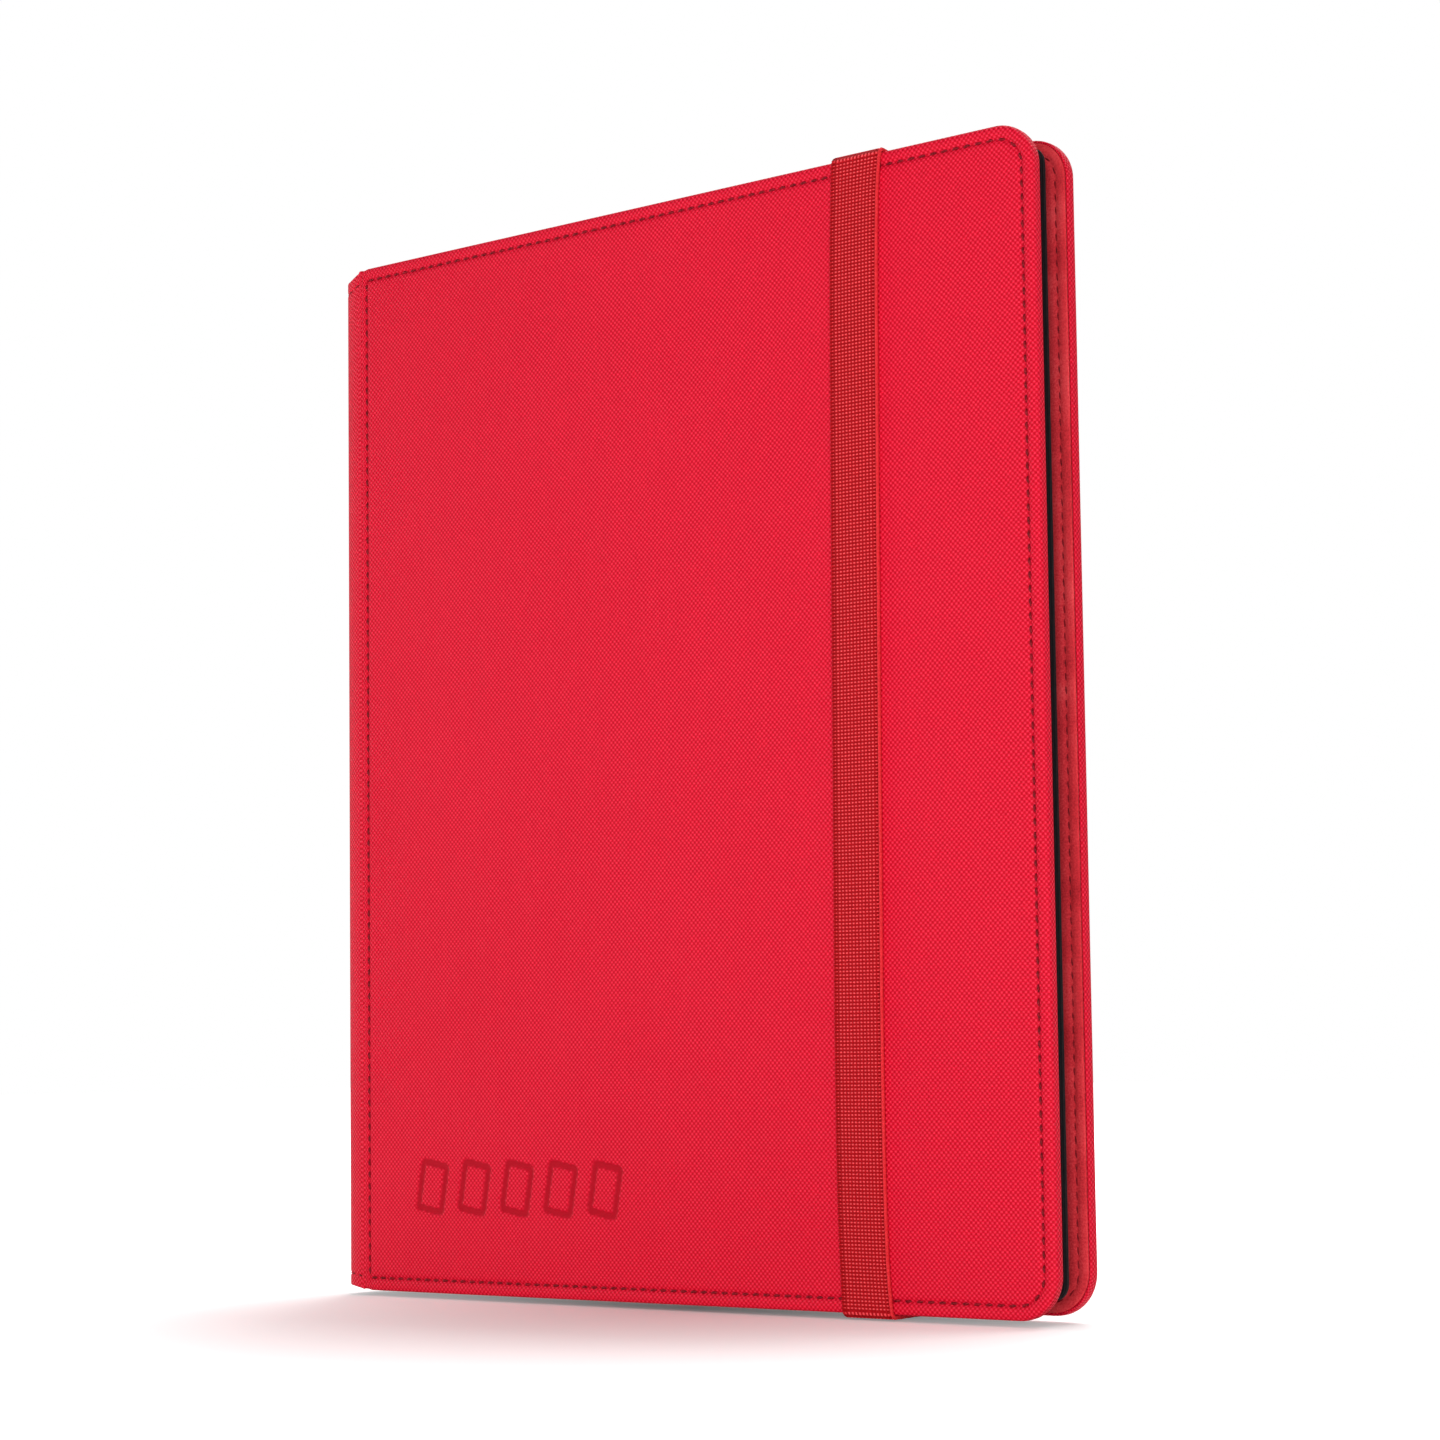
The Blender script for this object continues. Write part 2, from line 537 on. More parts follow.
def border_directions(x, z, walk, radius):
    """Outward direction at each border point: straight out on the sides, out from the arc's centre in the
    round corners, and both ways at once in the square corners on the left."""
    bx, bz = x[walk[:, 0], walk[:, 1]], z[walk[:, 0], walk[:, 1]]
    left, right, low, high = bx.min(), bx.max(), bz.min(), bz.max()
    centre_x = np.minimum(bx, right - radius)
    centre_z = np.clip(bz, low + radius, high - radius)
    out_x = np.where(bx > right - radius + 1e-9, (bx - centre_x) / radius, 0.0)
    out_z = (bz - centre_z) / radius
    on_left = bx < left + 1e-9
    not_corner = on_left & (bz > low + 1e-9) & (bz < high - 1e-9)
    out_z = np.where(not_corner, 0.0, np.where(on_left, np.sign(out_z), out_z))
    straight = (~on_left) & (bx <= right - radius + 1e-9)
    out_z = np.where(straight, np.where(bz > (low + high) / 2, 1.0, -1.0), out_z)
    out_x = np.where(on_left, -1.0, out_x)
    upright = (bx > right - 1e-9) & (bz > low + radius) & (bz < high - radius)
    out_x, out_z = np.where(upright, 1.0, out_x), np.where(upright, 0.0, out_z)
    return bx, bz, out_x, out_z


def card_outlines(x, z):
    """How far each point is pressed, from 0 to 1: a row of leaning card outlines. The distance to each
    rounded rectangle is the usual one, and the press mark is a band of one width on its inner side with
    soft walls."""
    line, corner = 2.2 * MM, 2.0 * MM
    lean, wall = math.radians(10), 0.28 * MM
    total = np.zeros_like(x)
    for k in range(MOTIF_CARDS):
        dx, dz = x - (MOTIF_FIRST_X + k * MOTIF_PITCH), z - MOTIF_Z
        u = dx * math.cos(lean) - dz * math.sin(lean)
        v = dx * math.sin(lean) + dz * math.cos(lean)
        qx, qz = np.abs(u) - MOTIF_HALF_W + corner, np.abs(v) - MOTIF_HALF_H + corner
        outside = np.hypot(np.maximum(qx, 0), np.maximum(qz, 0))
        distance = outside + np.minimum(np.maximum(qx, qz), 0) - corner
        band = np.minimum(-distance, distance + line)
        total = np.maximum(total, np.clip(band / wall + 0.5, 0, 1))
    return total * total * (3 - 2 * total)


def build_panel(name, x_edges, z_edges, radius, profile, left_scale, face_y, direction, lines, relief=None):
    """A cover panel: a bent grid for its face, and the side profile carried round its border.

    A ring of the profile lies at its inset from the outline, measured inwards along the border's outward
    direction, and at its depth behind the face. On the left the insets are scaled, because the hinge seam
    is nearer the edge. The rings have twice the face's border points, and triangles join them to the
    face."""
    inner = profile[-1, 0] * MM
    seam = SEAM_INSET
    left_inner = seam * left_scale + (inner - seam)
    x_lines, z_lines = lines
    x_lines = x_lines[(x_lines > x_edges[0] + left_inner + 1e-6) & (x_lines < x_edges[1] - inner - 1e-6)]
    z_lines = z_lines[(z_lines > z_edges[0] + inner + 1e-6) & (z_lines < z_edges[1] - inner - 1e-6)]
    x_lines = np.concatenate([[x_edges[0] + left_inner], x_lines, [x_edges[1] - inner]])
    z_lines = np.concatenate([[z_edges[0] + inner], z_lines, [z_edges[1] - inner]])
    r = radius - inner
    x, z = panel_plan(x_lines, z_lines, r)
    walk = border_walk(*x.shape)
    bx, bz, ox, oz = border_directions(x, z, walk, r)
    fine = np.arange(2 * len(walk)) / 2
    nearest = np.floor(fine).astype(int)
    following = (nearest + 1) % len(walk)
    part = fine - nearest
    def between(values):
        return values[nearest] * (1 - part) + values[following] * part
    fx, fz, fox, foz = (between(v) for v in (bx, bz, ox, oz))
    length = np.maximum(np.hypot(fox, foz), 1e-9)
    corner = np.maximum(np.abs(fox), np.abs(foz)) > 0.999
    fox, foz = np.where(corner, fox, fox / length), np.where(corner, foz, foz / length)
    rounding = (fx > x_edges[1] - radius) & ((fz < z_edges[0] + radius) | (fz > z_edges[1] - radius))
    centre_x = x_edges[1] - radius
    centre_z = np.where(fz > (z_edges[0] + z_edges[1]) / 2, z_edges[1] - radius, z_edges[0] + radius)
    reach = np.maximum(np.hypot(fx - centre_x, fz - centre_z), 1e-9)
    fx = np.where(rounding, centre_x + (fx - centre_x) * r / reach, fx)
    fz = np.where(rounding, centre_z + (fz - centre_z) * r / reach, fz)
    fox = np.where(rounding, (fx - centre_x) / r, fox)
    foz = np.where(rounding, (fz - centre_z) / r, foz)
    insets, depths = profile[:, 0] * MM, profile[:, 1] * MM
    path = np.concatenate([[0], np.cumsum(np.hypot(np.diff(insets), np.diff(depths)))])
    unrolled = path[-1] - path
    rings, cloth = [], []
    for inset, depth, spread in zip(insets, depths, unrolled):
        out = inner - inset
        left_out = left_inner - (inset * left_scale if inset <= seam else seam * left_scale + inset - seam)
        reach_x = np.where(fox < -1e-9, left_out, out)
        rings.append(np.stack([fx + fox * reach_x, np.full_like(fx, face_y + direction * depth),
                               fz + foz * out], -1))
        cloth.append(np.stack([fx + fox * spread, fz + foz * spread], -1))
    pressing = relief(x, z) if relief else np.zeros_like(x)
    face_depth = pressing * MOTIF_DEPTH
    face = np.stack([x, face_y + direction * face_depth, z], -1).reshape(-1, 3)
    face_cloth = np.stack([x, z], -1).reshape(-1, 2)
    ring_size = 2 * len(walk)
    count = len(rings)
    points = np.concatenate([np.concatenate(rings[:-1]), face])
    points = rounded_back_corners(points, x_edges[0], z_edges, 1.8 * MM)
    uv = np.concatenate([np.concatenate(cloth[:-1]), face_cloth])
    sunk = np.exp(-((insets[:-1] - seam) / (0.45 * MM)) ** 2)
    pressed = np.concatenate([np.zeros(ring_size * (count - 1)), pressing.ravel()])
    seam_mark = np.concatenate([np.repeat(sunk, ring_size), np.zeros(x.size)])
    face_start = ring_size * (count - 1)
    faces = [grid_faces(count - 1, ring_size, close_columns=True)]
    faces.append(grid_faces(*x.shape, start=face_start)[:, ::-1])
    border = face_start + walk[:, 0] * x.shape[1] + walk[:, 1]
    last = ring_size * (count - 2)
    k = np.arange(len(walk))
    f0, f1, f2 = last + 2 * k, last + 2 * k + 1, last + (2 * k + 2) % ring_size
    b0, b1 = border, np.roll(border, -1)
    joints = [np.stack([f0, f1, b0], -1), np.stack([f1, b1, b0], -1), np.stack([f1, f2, b1], -1)]
    listed = [list(q) for part_faces in faces for q in part_faces]
    listed += [list(q) for part_faces in joints for q in part_faces]
    listed.append(list(range(ring_size))[::-1])
    if direction < 0:
        listed = [q[::-1] for q in listed]
    return put_mesh(name, points, listed, uv, marks={"pressed": pressed, "seam": seam_mark})


def rounded_back_corners(points, left, z_edges, radius):
    """Bends the panel's two square corners on the spine side to small arcs, by the same map as the big
    ones."""
    out = points.copy()
    for side, edge in ((1, z_edges[1]), (-1, z_edges[0])):
        s = (left + radius - out[:, 0]) / radius
        t = (side * (out[:, 2] - edge) + radius) / radius
        inside = (s > 0) & (t > 0)
        bent_s, bent_t = squared_circle(np.clip(s, 0, 1), np.clip(t, 0, 1))
        out[:, 0] = np.where(inside, left + radius - radius * bent_s, out[:, 0])
        out[:, 2] = np.where(inside, edge + side * radius * (bent_t - 1), out[:, 2])
    return out


def seam_route(x_left, x_right, z_low, z_high, radius, step):
    """Points a step apart along a cover's seams: up the hinge seam from edge to edge, along the top, round
    both fore-edge corners and back along the bottom. Returns points and directions."""
    over = SEAM_INSET - 0.6 * MM
    corners = [((x_left, z_low - over), (x_left, z_high + over)),
               ((x_left, z_high), (x_right - radius, z_high))]
    centre_top, centre_low = (x_right - radius, z_high - radius), (x_right - radius, z_low + radius)
    def straight(a, b):
        a, b = np.array(a), np.array(b)
        count = max(1, int(round(np.linalg.norm(b - a) / step)))
        middle = (np.arange(count) + 0.5) / count
        along = (b - a) / np.linalg.norm(b - a)
        return a + np.outer(middle, b - a), np.tile(along, (count, 1))
    def arc(centre, start):
        count = max(2, int(round(radius * math.pi / 2 / step)))
        angle = start - (np.arange(count) + 0.5) / count * math.pi / 2
        points = np.stack([centre[0] + radius * np.cos(angle), centre[1] + radius * np.sin(angle)], -1)
        return points, np.stack([np.sin(angle), -np.cos(angle)], -1)
    runs = [straight(*corners[0]), straight(*corners[1]), arc(centre_top, math.pi / 2),
            straight((x_right, z_high - radius), (x_right, z_low + radius)), arc(centre_low, 0.0),
            straight((x_right - radius, z_low), (x_left, z_low))]
    return np.concatenate([r[0] for r in runs]), np.concatenate([r[1] for r in runs])


def stitch_shape():
    """One lockstitch, 1 long and 1 thick: rings round its length, thin at both ends where the thread
    dives."""
    around = np.linspace(0, 2 * math.pi, 7)[:-1]
    along = np.array([-0.5, -0.36, -0.12, 0.12, 0.36, 0.5])
    thick = np.array([0.05, 0.72, 1.0, 1.0, 0.72, 0.05])
    dive = np.array([0.95, 0.3, 0.0, 0.0, 0.3, 0.95])
    ring = np.stack([np.cos(around), np.sin(around)], -1)
    points = [np.stack([np.full(6, a), ring[:, 0] * t * 0.5, ring[:, 1] * t * 0.5 + d], -1)
              for a, t, d in zip(along, thick, dive)]
    faces = grid_faces(6, 6, close_columns=True).tolist()
    faces += [list(range(6))[::-1], list(range(30, 36))]
    return np.concatenate(points), faces


def build_stitches(name, route, directions, y, inwards, length, width, slant=0.0):
    """A row of stitches: the stitch shape repeated along a route of points in X and Z. Each is turned to
    the route's direction, slanted by a small angle, and its ends dive inwards, away from the face."""
    shape, faces = stitch_shape()
    turn = np.arctan2(directions[:, 1], directions[:, 0]) + slant
    ux, uz = np.cos(turn), np.sin(turn)
    a = shape[:, 0] * length
    b = shape[:, 1] * width
    d = shape[:, 2] * width
    px = route[:, 0, None] + ux[:, None] * a - uz[:, None] * b
    pz = route[:, 1, None] + uz[:, None] * a + ux[:, None] * b
    py = np.broadcast_to(y + inwards * d, px.shape)
    points = np.stack([px, py, pz], -1).reshape(-1, 3)
    size = len(shape)
    listed = [[v + size * k for v in f] for k in range(len(route)) for f in faces]
    if inwards > 0:
        listed = [f[::-1] for f in listed]
    return put_mesh(name, points, listed)


# ------------------------------------------------------------------ operators

class BuildOperator:
    """What every building operator shares."""
    bl_options = {"REGISTER", "UNDO"}

    @classmethod
    def poll(cls, context):
        return context.scene is not None


def panel_lines(r, motif_step=None):
    """Grid lines of a cover's face: close together in the fore-edge corners of radius r and over the
    motif."""
    x0, x1, z0, z1 = FRONT_LO[0], FRONT_HI[0], FRONT_LO[2], FRONT_HI[2]
    step, corner_step = FACE_STEP, 0.8 * MM
    x_runs = [lines_between(x0, x1 - r, step), lines_between(x1 - r, x1, corner_step)]
    z_runs = [lines_between(z0 + r, z1 - r, step), lines_between(z0, z0 + r, corner_step),
              lines_between(z1 - r, z1, corner_step)]
    if motif_step:
        mx0, mx1 = MOTIF_FIRST_X - 10 * MM, MOTIF_FIRST_X + 84 * MM
        mz0, mz1 = MOTIF_Z - 10.5 * MM, MOTIF_Z + 10.5 * MM
        x_runs[0] = np.concatenate([lines_between(x0, mx0, step), lines_between(mx0, mx1, motif_step),
                                    lines_between(mx1, x1 - r, step)])
        z_runs[0] = np.concatenate([lines_between(z0 + r, mz0, step), lines_between(mz0, mz1, motif_step),
                                    lines_between(mz1, z1 - r, step)])
    return joined_lines(*x_runs), joined_lines(*z_runs)


def build_cover(side):
    """Outer cloth, lining and both rows of stitches of one cover. The back cover is the front's mirror
    image."""
    cloth, _, _ = settings()
    front = side == "front"
    body = f"{side}_cover"
    x_edges, z_edges = (FRONT_LO[0], FRONT_HI[0]), (FRONT_LO[2], FRONT_HI[2])
    out_y = FRONT_LO[1] if front else BACK_HI[1]
    inwards = 1 if front else -1
    in_y = LINING_HI[1] if front else 2 * MID_Y - LINING_HI[1]
    left_scale = FOLD / SEAM_INSET
    relief = card_outlines if front else None
    lines = panel_lines(cloth.corner_radius, 0.55 * MM if front else None)
    skin = build_panel(f"{side}_cover_skin", x_edges, z_edges, cloth.corner_radius, CLOTH_PROFILE, left_scale,
                       out_y, inwards, lines, relief)
    finish_piece(skin, body, cover_cloth(), "cover_fabric", f"{side}_cover_fabric")
    lining = build_panel(f"{side}_cover_suede", x_edges, z_edges, cloth.corner_radius, LINING_PROFILE,
                         left_scale, in_y, -inwards, panel_lines(cloth.corner_radius))
    finish_piece(lining, body, suede(), "suede_lining", f"{side}_cover_lining")
    inset = cloth.seam_inset
    route, directions = seam_route(SEAM_X, x_edges[1] - inset, z_edges[0] + inset, z_edges[1] - inset,
                                   cloth.corner_radius - inset, cloth.stitch_pitch)
    outer = build_stitches(f"{side}_cover_outer_stitches", route, directions, out_y + inwards * 0.5 * MM,
                           inwards, 0.76 * cloth.stitch_pitch, 0.9 * MM, math.radians(8))
    finish_piece(outer, body, thread(), "thread", f"{side}_cover_stitching")
    inner = build_stitches(f"{side}_cover_inner_stitches", route, directions, in_y - inwards * 0.3 * MM,
                           -inwards, 0.8 * cloth.stitch_pitch, 0.5 * MM, math.radians(7))
    finish_piece(inner, body, thread(), "thread")


class BINDER_OT_front_cover(BuildOperator, bpy.types.Operator):
    """Builds the front cover's padded skin, suede lining and seams."""
    bl_idname = "binder.front_cover"
    bl_label = "Front cover"

    def execute(self, context):
        build_cover("front")
        return {"FINISHED"}


class BINDER_OT_back_cover(BuildOperator, bpy.types.Operator):
    """Builds the back cover's padded skin, suede lining and seams."""
    bl_idname = "binder.back_cover"
    bl_label = "Back cover"

    def execute(self, context):
        build_cover("back")
        return {"FINISHED"}


# The spine's section: how square its shoulders are, where 1 is round, and how far its padding fills it out
SHOULDER = 0.77
SPINE_PADDING = 1.3 * MM


def spine_section(inset, angles):
    """Points round the spine, from the front (angle 0) over the left to the back (angle pi), at an inset
    from its outer face: a rounded square curve, whose sine and cosine are raised to a power below one,
    because the padding fills out the shoulders beside both covers."""
    half = CLOSED_T / 2 - inset
    full = np.sin(angles) ** SHOULDER
    x = AXIS_X - (half + SPINE_PADDING) * full
    y = MID_Y - half * np.sign(np.cos(angles)) * np.abs(np.cos(angles)) ** SHOULDER
    return x, y


def closed_strip(name, outer, inner, z_values, shrink):
    """A thin shell standing along Z: two rows of section points, outer and inner, carried along the height.
    shrink gives for each height how far both draw in towards the section's middle line, which rounds the
    ends. The ends and long edges are closed by strips of faces."""
    section = np.concatenate([outer, inner[::-1]])
    middle = np.concatenate([(outer + inner) / 2, ((outer + inner) / 2)[::-1]])
    step = np.hypot(*np.diff(outer, axis=0).T)
    run = np.concatenate([[0], np.cumsum(step)])
    u = np.concatenate([run, run[::-1]])
    points, uv = [], []
    for z, keep in zip(z_values, shrink):
        flat = middle + (section - middle) * keep
        points.append(np.column_stack([flat, np.full(len(flat), z)]))
        uv.append(np.column_stack([u, np.full(len(u), z)]))
    size = len(section)
    faces = grid_faces(len(z_values), size, close_columns=True).tolist()
    half = len(outer)
    for base, flip in ((0, False), (size * (len(z_values) - 1), True)):
        a = base + np.arange(half - 1)
        b = base + size - 1 - np.arange(half - 1)
        cap = np.stack([a, a + 1, b - 1, b], -1)
        faces += (cap if flip else cap[:, ::-1]).tolist()
    return put_mesh(name, np.concatenate(points), faces, np.concatenate(uv))


def read_points(obj):
    """The points of a piece as an array with a row for each."""
    points = np.zeros(len(obj.data.vertices) * 3)
    obj.data.vertices.foreach_get("co", points)
    return points.reshape(-1, 3)


def fix_normals(obj):
    """Points the faces of a closed piece outwards."""
    mesh = bmesh.new()
    mesh.from_mesh(obj.data)
    bmesh.ops.recalc_face_normals(mesh, faces=mesh.faces)
    mesh.to_mesh(obj.data)
    mesh.free()


def rounded_heights(low, high, edge, step):
    """Heights of a strip and how much of its thickness each keeps: a half-round end, then a straight
    run."""
    turn = np.linspace(0, math.pi / 2, 6)
    ends = edge * (1 - np.cos(turn))
    keep = np.maximum(np.sin(turn), 0.05)
    middle = lines_between(low + edge, high - edge, step)[1:-1]
    z = np.concatenate([low + ends, middle, (high - ends)[::-1]])
    return z, np.concatenate([keep, np.ones(len(middle)), keep[::-1]])


class BINDER_OT_spine(BuildOperator, bpy.types.Operator):
    """Builds the rounded spine's cloth and lining, the bending strips at both hinge seams and the seams
    across it."""
    bl_idname = "binder.spine"
    bl_label = "Spine and hinge seams"

    def execute(self, context):
        cloth, _, _ = settings()
        z_low, z_high = SPINE_LO[2], SPINE_HI[2]
        start = 0.063
        angles = np.linspace(start, math.pi - start, 81)
        z, keep = rounded_heights(z_low, z_high, 0.75 * MM, 6 * MM)
        seam_heights = [z_low + cloth.seam_inset, z_high - cloth.seam_inset]
        round_seam = np.array([-1.2, -0.6, -0.25, 0, 0.25, 0.6, 1.2]) * MM
        near = np.concatenate([height + round_seam for height in seam_heights])
        order = np.argsort(np.concatenate([z, near]))
        z = np.concatenate([z, near])[order]
        keep = np.concatenate([keep, np.ones(len(near))])[order]
        outer = np.stack(spine_section(0, angles), -1)
        inner = np.stack(spine_section(0.78 * MM, angles), -1)
        wrap = closed_strip("spine_wrap", outer, inner, z, keep)
        self.sink_seams(wrap, seam_heights)
        self.slope_ends(wrap, z_low, z_high)
        fix_normals(wrap)
        finish_piece(wrap, "spine", cover_cloth(), "cover_fabric", "spine_fabric")
        outer = np.stack(spine_section(1.8 * MM, angles), -1)
        inner = np.stack(spine_section(2.38 * MM, angles), -1)
        lining = closed_strip("spine_suede", outer, inner, *rounded_heights(z_low, z_high, 0.5 * MM, 12 * MM))
        self.slope_ends(lining, z_low, z_high)
        fix_normals(lining)
        finish_piece(lining, "spine", suede(), "suede_lining", "spine_lining")
        self.cross_stitches(seam_heights, cloth)
        for side in ("front", "back"):
            self.hinge_strip(side, z_low, z_high)
            self.gutter_strip(side, z_low, z_high)
        return {"FINISHED"}

    @staticmethod
    def sink_seams(wrap, heights):
        """Pulls the cloth in towards the spine's axis along each cross seam, deepest on the thread."""
        points = read_points(wrap)
        axis = np.array([AXIS_X, MID_Y])
        for height in heights:
            depth = 0.42 * MM * np.exp(-((points[:, 2] - height) / (0.45 * MM)) ** 2)
            out = points[:, :2] - axis
            out /= np.linalg.norm(out, axis=1)[:, None]
            points[:, :2] -= out * depth[:, None]
        wrap.data.vertices.foreach_set("co", points.ravel())

    @staticmethod
    def slope_ends(obj, low, high):
        """Draws both ends of the spine in, more the further a point lies from the covers: a share of the
        drop that fades out within 60 mm of the end."""
        points = read_points(obj)
        points[:, 2] += BINDER_OT_spine.end_drop(points, low, high)
        obj.data.vertices.foreach_set("co", points.ravel())

    @staticmethod
    def end_drop(points, low, high):
        """The change of height of spine points near its two ends."""
        away = np.clip((SEAM_X - 2.6 * MM - points[:, 0]) / (6 * MM), 0, 1) ** 0.7
        near_top = np.clip(1 - (high - points[:, 2]) / (60 * MM), 0, 1)
        near_low = np.clip(1 - (points[:, 2] - low) / (60 * MM), 0, 1)
        return (-(0.3 + 2.5 * away) * near_top + (0.2 + 1.0 * away) * near_low) * MM

    @staticmethod
    def cross_stitches(heights, cloth):
        """Stitches across the spine: the stitch shape carried round the spine's section."""
        shape, faces = stitch_shape()
        fine = np.linspace(0.05, math.pi - 0.05, 400)
        steps = np.diff(np.stack(spine_section(0, fine), -1), axis=0)
        run = np.concatenate([[0], np.cumsum(np.hypot(*steps.T))])
        count = int(run[-1] / cloth.stitch_pitch)
        middles = (np.arange(count) + 0.5) / count * run[-1]
        points, listed = [], []
        for height in heights:
            for angle in middles:
                bend = np.interp(angle + shape[:, 0] * 0.76 * cloth.stitch_pitch, run, fine)
                x, y = spine_section(0.45 * MM + shape[:, 2] * 0.8 * MM, bend)
                base = sum(len(p) for p in points)
                points.append(np.stack([x, y, height + shape[:, 1] * 0.8 * MM], -1))
                listed += [[v + base for v in f] for f in faces]
        points = np.concatenate(points)
        points[:, 2] += BINDER_OT_spine.end_drop(points, SPINE_LO[2], SPINE_HI[2])
        stitches = put_mesh("spine_stitches", points, listed)
        fix_normals(stitches)
        finish_piece(stitches, "spine", thread(), "thread", "spine_stitching")

    @staticmethod
    def hinge_strip(side, z_low, z_high):
        """The ridge of cloth between a cover's folded edge and the spine: a thin raised strip that tucks
        under both and bends with the hinge."""
        tuck = np.array([[-0.7, 1.1], [-1.2, 0.7], [-1.55, 0.32], [-1.9, 0.06], [-2.3, -0.06], [-2.8, -0.04],
                         [-3.25, 0.14], [-3.7, 0.5], [-4.3, 1.0]]) * MM
        heights = rounded_heights(z_low + 0.4 * MM, z_high - 0.4 * MM, 0.4 * MM, 12 * MM)
        strip, depth = BINDER_OT_spine.strip_at_hinge(
            f"{side}_hinge_strip", side, tuck, np.array([0.0, 0.6]) * MM, heights, 0.7 * MM)
        strip.data.materials.append(cover_cloth())
        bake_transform(strip)

    @staticmethod
    def gutter_strip(side, z_low, z_high):
        """The lining between a cover's suede and the binding block, with a little slack so that it can
        open."""
        line = np.array([[1.2, 4.15], [0.0, 4.12], [-1.2, 4.15], [-2.2, 4.4], [-3.0, 4.9], [-3.6, 5.6]]) * MM
        heights = rounded_heights(z_low + 1.5 * MM, z_high - 1.5 * MM, 0.3 * MM, 12 * MM)
        strip, depth = BINDER_OT_spine.strip_at_hinge(
            f"{side}_gutter_strip", side, line, np.array([-0.15, -0.45]) * MM, heights, 4.5 * MM)
        strip.data.materials.append(suede())
        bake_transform(strip)

    @staticmethod
    def strip_at_hinge(name, side, line, thickness, heights, depth):
        """A thin strip along a hinge seam. line holds the points of one face counted from the front seam,
        and thickness is the way to the other face. Returns the strip and the Y at which it bends."""
        seam = np.array([SEAM_X, FRONT_LO[1]])
        strip = closed_strip(name, seam + line, seam + (line + thickness), *heights)
        y = FRONT_LO[1] + depth
        if side == "back":
            BINDER_OT_spine.turn_over(strip)
            y = 2 * MID_Y - y
        fix_normals(strip)
        return strip, y

    @staticmethod
    def turn_over(obj):
        """Puts a front piece's points at the same place on the back."""
        obj.data.vertices.foreach_set("co", mirrored(read_points(obj)).ravel())


def strap_path():
    """Points of the strap's inner face in Y and Z, and the outward direction at each: from the back cover
    over the top edge, down the front and under the bottom edge. The bends are quarter circles round the
    covers' edges."""
    y_back, y_front = TOP_RUN_HI[1], STRAP_HI[1]
    z_top, z_low = TOP_RUN_LO[2], STRAP_LO[2] + (STRAP_HI[1] - STRAP_LO[1])
    bend = 1.3 * MM
    turn = np.linspace(0, math.pi / 2, 9)[1:-1]
    top = lines_between(y_back, y_front + bend, 1.5 * MM)
    rows = [np.stack([top, np.full(len(top), z_top)], -1)]
    out = [np.tile([0.0, 1.0], (len(top), 1))]
    rows.append(np.stack([y_front + bend - bend * np.sin(turn), z_top - bend + bend * np.cos(turn)], -1))
    out.append(np.stack([-np.sin(turn), np.cos(turn)], -1))
    front = lines_between(z_top - bend, z_low + bend, 0.55 * MM)
    rows.append(np.stack([np.full(len(front), y_front), front], -1))
    out.append(np.tile([-1.0, 0.0], (len(front), 1)))
    rows.append(np.stack([y_front + bend - bend * np.cos(turn), z_low + bend - bend * np.sin(turn)], -1))
    out.append(np.stack([-np.cos(turn), -np.sin(turn)], -1))
    low = lines_between(y_front + bend, y_back, 1.5 * MM)
    rows.append(np.stack([low, np.full(len(low), z_low)], -1))
    out.append(np.tile([0.0, -1.0], (len(low), 1)))
    return np.concatenate(rows), np.concatenate(out)


def strap_section(width, thickness, cord):
    """The strap's cross-section as (across, out): flat with a soft looped edge on the left, a groove and a
    round cord on the right. It runs once round, outer face first."""
    left, right = -width / 2, width / 2
    body_end = right - cord
    face = np.linspace(left + 0.7 * MM, body_end - 0.35 * MM, 19)
    outer = [(left, thickness * 0.4), (left + 0.12 * MM, thickness * 0.72),
             (left + 0.4 * MM, thickness * 0.9)]
    outer += [(x, thickness * 0.94) for x in face]
    outer += [(body_end - 0.12 * MM, thickness * 0.74), (body_end, thickness * 0.5),
              (body_end + 0.12 * MM, thickness * 0.76)]
    turn = np.linspace(math.radians(150), math.radians(-60), 9)
    centre = right - cord / 2
    outer += [(centre + cord / 2 * math.cos(a), thickness / 2 + thickness / 2 * math.sin(a)) for a in turn]
    outer += [(body_end, 0.06 * MM), (left + 0.5 * MM, 0.0), (left + 0.1 * MM, thickness * 0.12)]
    return np.array(outer)


